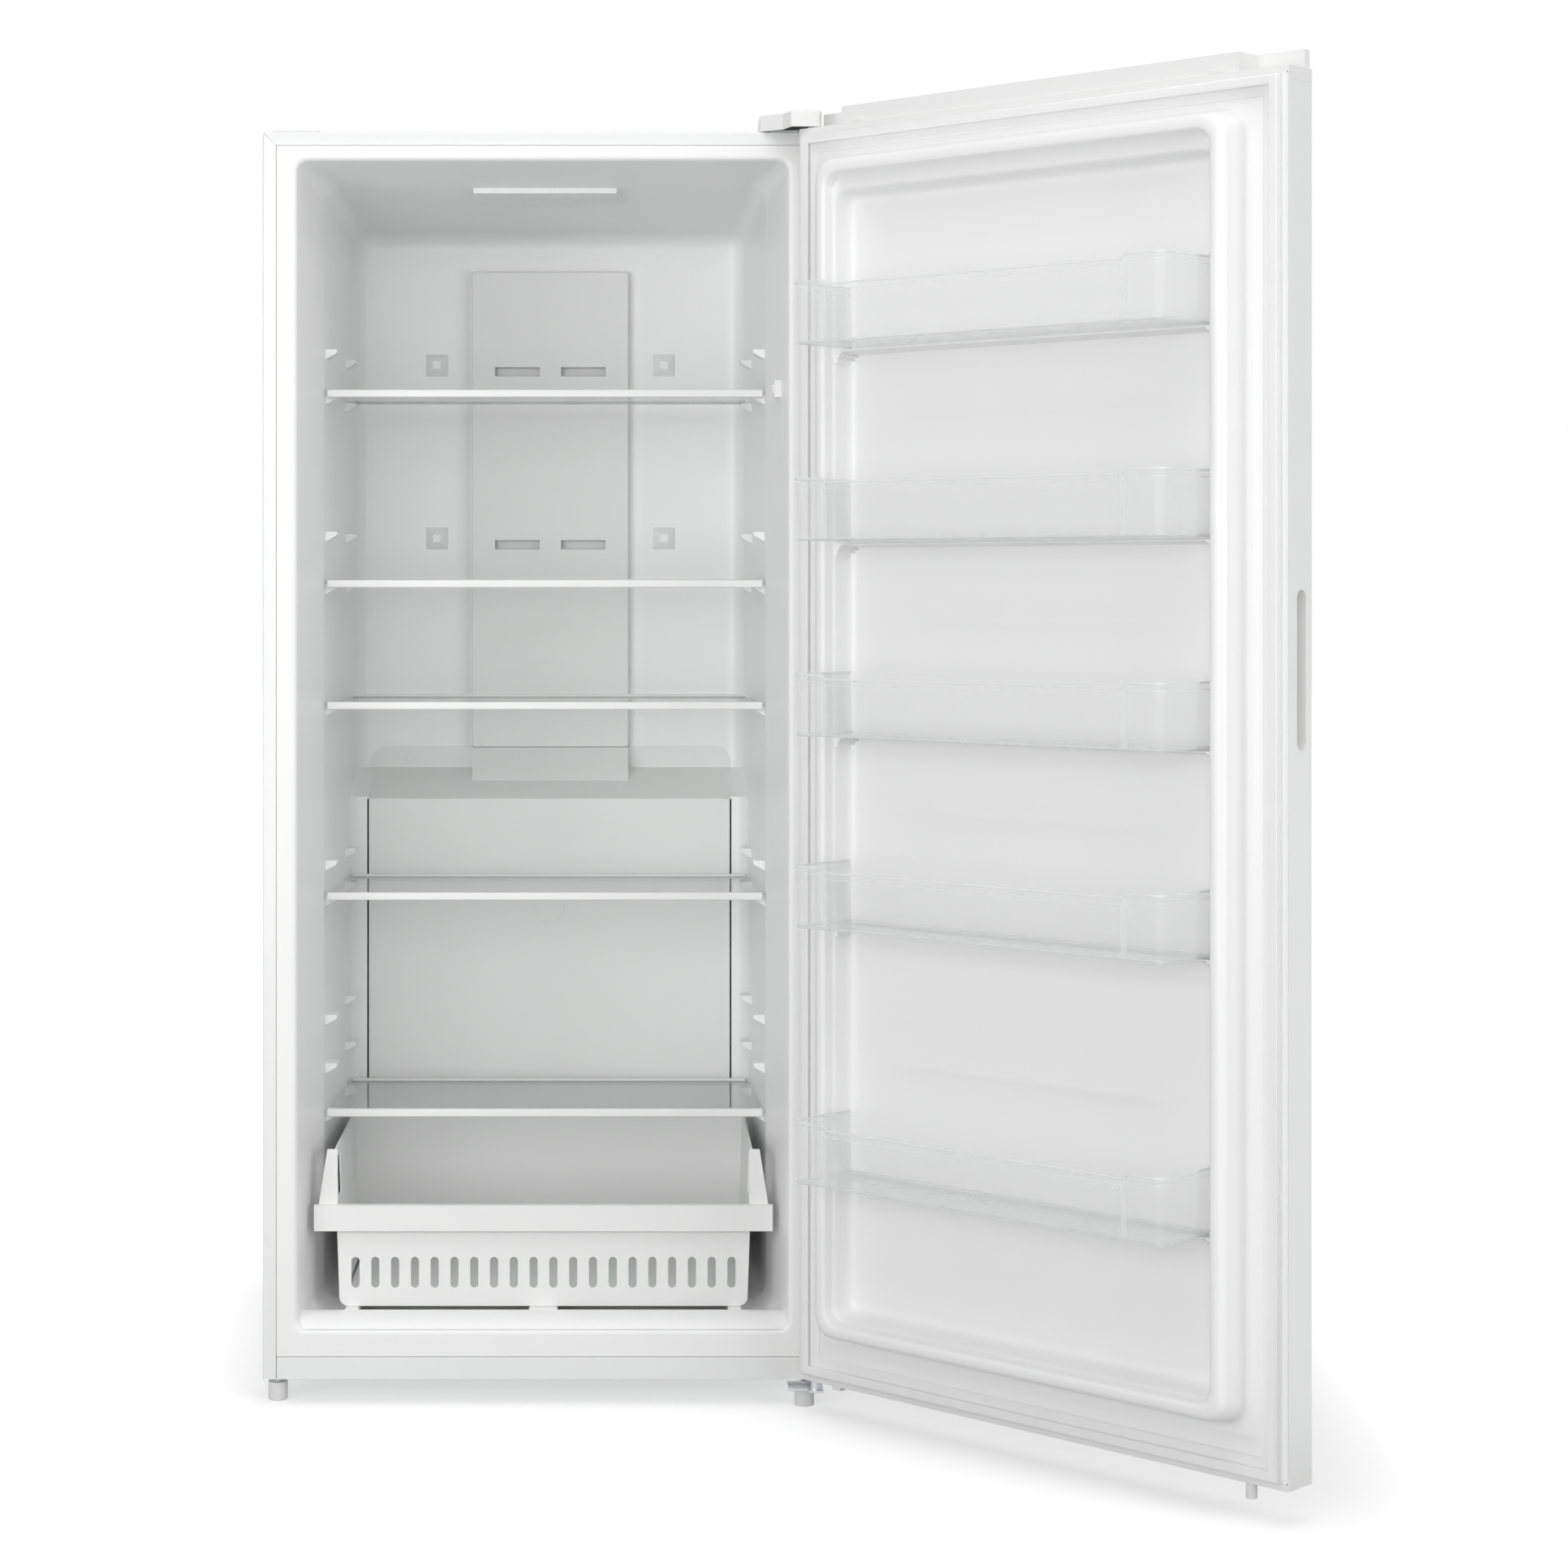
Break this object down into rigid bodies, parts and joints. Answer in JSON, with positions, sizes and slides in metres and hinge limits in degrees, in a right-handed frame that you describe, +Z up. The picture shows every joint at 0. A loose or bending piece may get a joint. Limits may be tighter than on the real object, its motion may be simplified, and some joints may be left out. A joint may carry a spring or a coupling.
{
  "type": "upright freezer",
  "caption": "Tall white single-door upright freezer with its door open, glass shelves, a slotted drawer and clear door bins.",
  "frame": {"origin": "on the floor, under the middle of the cabinet's front face", "axes": "+X to the right as seen from the front, +Y from the front into the cabinet, +Z up"},
  "size_m": [1.4413, 1.3206, 1.93],
  "materials": {
    "white_enamel": "gloss",
    "grey_steel": "satin",
    "zinc_steel": "satin",
    "white_liner": "satin",
    "white_plastic": "satin",
    "clear_plastic": "gloss",
    "frosted_plastic": "satin",
    "tempered_glass": "gloss",
    "gasket_rubber": "matte",
    "black_rubber": "matte",
    "grey_plastic": "matte",
    "black_plastic": "matte",
    "acetal": "matte",
    "circuit_board": "matte",
    "insulation": "matte",
    "aluminium_fins": "satin",
    "black_enamel": "satin"
  },
  "bodies": {
    "cabinet": {"cabinet_wrapper": "white_enamel", "cabinet_back_panel": "grey_steel", "bottom_front_rail": "white_enamel", "cabinet_deck": "grey_steel", "compressor_base": "grey_steel", "machine_cover": "grey_steel", "cabinet_liner": "white_liner", "cabinet_foam": "insulation", "upper_hinge_bracket": "zinc_steel", "upper_hinge_cover": "white_plastic", "hinge_screws": "zinc_steel", "hinge_hole_cover": "white_plastic", "lower_hinge_bracket": "zinc_steel", "roller_brackets": "grey_steel", "air_duct_cover": "white_plastic", "evaporator_cover": "white_plastic", "screw_caps": "white_plastic", "temperature_sensor": "white_plastic", "lamp_cover": "frosted_plastic", "lamp_board": "circuit_board", "door_switch_housing": "white_plastic", "evaporator_coil": "aluminium_fins", "compressor": "black_enamel", "drip_pan": "black_plastic", "condenser_coil": "black_enamel", "fan_motors": "grey_plastic", "cord_gland": "black_rubber"},
    "shelf_1": {"shelf_glass_1": "tempered_glass", "shelf_trim_1": "white_plastic"},
    "shelf_2": {"shelf_glass_2": "tempered_glass", "shelf_trim_2": "white_plastic"},
    "shelf_3": {"shelf_glass_3": "tempered_glass", "shelf_trim_3": "white_plastic"},
    "shelf_4": {"shelf_glass_4": "tempered_glass", "shelf_trim_4": "white_plastic"},
    "shelf_5": {"shelf_glass_5": "tempered_glass", "shelf_trim_5": "white_plastic"},
    "bin_1": {"door_bin_1": "clear_plastic"},
    "bin_2": {"door_bin_2": "clear_plastic"},
    "bin_3": {"door_bin_3": "clear_plastic"},
    "bin_4": {"door_bin_4": "clear_plastic"},
    "bin_5": {"door_bin_5": "clear_plastic"},
    "drawer": {"drawer": "white_plastic"},
    "switch_key": {"door_switch_key": "white_plastic"},
    "evaporator_fan": {"evaporator_fan": "black_plastic"},
    "condenser_fan": {"condenser_fan": "black_plastic"},
    "roller_left": {"left_roller": "grey_plastic"},
    "roller_right": {"right_roller": "grey_plastic"},
    "foot_left": {"left_foot": "white_plastic"},
    "foot_right": {"right_foot": "white_plastic"},
    "door": {"door_skin": "white_enamel", "door_top_cap": "white_plastic", "door_bottom_cap": "white_plastic", "hinge_bushes": "acetal", "door_liner": "white_liner", "door_gasket": "gasket_rubber", "handle_cup": "white_plastic", "door_foam": "insulation", "door_studs": "white_plastic", "cap_clips": "white_plastic"}
  },
  "joints": [
    {"name": "door_swing", "type": "hinge", "parent": "cabinet", "child": "door", "pos_m": [0.4065, -0.034, 1], "axis": [0, 0, 1], "range_deg": [-135.8, 0]},
    {"name": "shelf_1_slide", "type": "slide", "parent": "cabinet", "child": "shelf_1", "axis": [0, -1, 0], "range_m": [0, 0.25]},
    {"name": "shelf_2_slide", "type": "slide", "parent": "cabinet", "child": "shelf_2", "axis": [0, -1, 0], "range_m": [0, 0.25]},
    {"name": "shelf_3_slide", "type": "slide", "parent": "cabinet", "child": "shelf_3", "axis": [0, -1, 0], "range_m": [0, 0.25]},
    {"name": "shelf_4_slide", "type": "slide", "parent": "cabinet", "child": "shelf_4", "axis": [0, -1, 0], "range_m": [0, 0.25]},
    {"name": "shelf_5_slide", "type": "slide", "parent": "cabinet", "child": "shelf_5", "axis": [0, -1, 0], "range_m": [0, 0.25]},
    {"name": "drawer_slide", "type": "slide", "parent": "cabinet", "child": "drawer", "axis": [0, -1, 0], "range_m": [0, 0.3]},
    {"name": "bin_1_lift", "type": "slide", "parent": "door", "child": "bin_1", "axis": [0, 0, 1], "range_m": [0, 0.04]},
    {"name": "bin_2_lift", "type": "slide", "parent": "door", "child": "bin_2", "axis": [0, 0, 1], "range_m": [0, 0.04]},
    {"name": "bin_3_lift", "type": "slide", "parent": "door", "child": "bin_3", "axis": [0, 0, 1], "range_m": [0, 0.04]},
    {"name": "bin_4_lift", "type": "slide", "parent": "door", "child": "bin_4", "axis": [0, 0, 1], "range_m": [0, 0.04]},
    {"name": "bin_5_lift", "type": "slide", "parent": "door", "child": "bin_5", "axis": [0, 0, 1], "range_m": [0, 0.04]},
    {"name": "switch_press", "type": "slide", "parent": "cabinet", "child": "switch_key", "axis": [1, 0, 0], "range_m": [0, 0.003], "stiffness_N_per_m": 150},
    {"name": "evaporator_fan_spin", "type": "hinge", "parent": "cabinet", "child": "evaporator_fan", "pos_m": [0, 0.514, 0.813], "axis": [0, 1, 0], "continuous": true},
    {"name": "condenser_fan_spin", "type": "hinge", "parent": "cabinet", "child": "condenser_fan", "pos_m": [-0.04933, 0.5895, 0.1152], "axis": [1, 0, 0], "continuous": true},
    {"name": "left_roller_spin", "type": "hinge", "parent": "cabinet", "child": "roller_left", "pos_m": [-0.359, 0.618, 0.018], "axis": [1, 0, 0], "continuous": true},
    {"name": "right_roller_spin", "type": "hinge", "parent": "cabinet", "child": "roller_right", "pos_m": [0.359, 0.618, 0.018], "axis": [1, 0, 0], "continuous": true},
    {"name": "left_foot_turn", "type": "hinge", "parent": "cabinet", "child": "foot_left", "pos_m": [-0.4, 0.04, 0.02], "axis": [0, 0, 1], "continuous": true},
    {"name": "right_foot_turn", "type": "hinge", "parent": "cabinet", "child": "foot_right", "pos_m": [0.392, 0.006, 0.02], "axis": [0, 0, 1], "continuous": true}
  ]
}
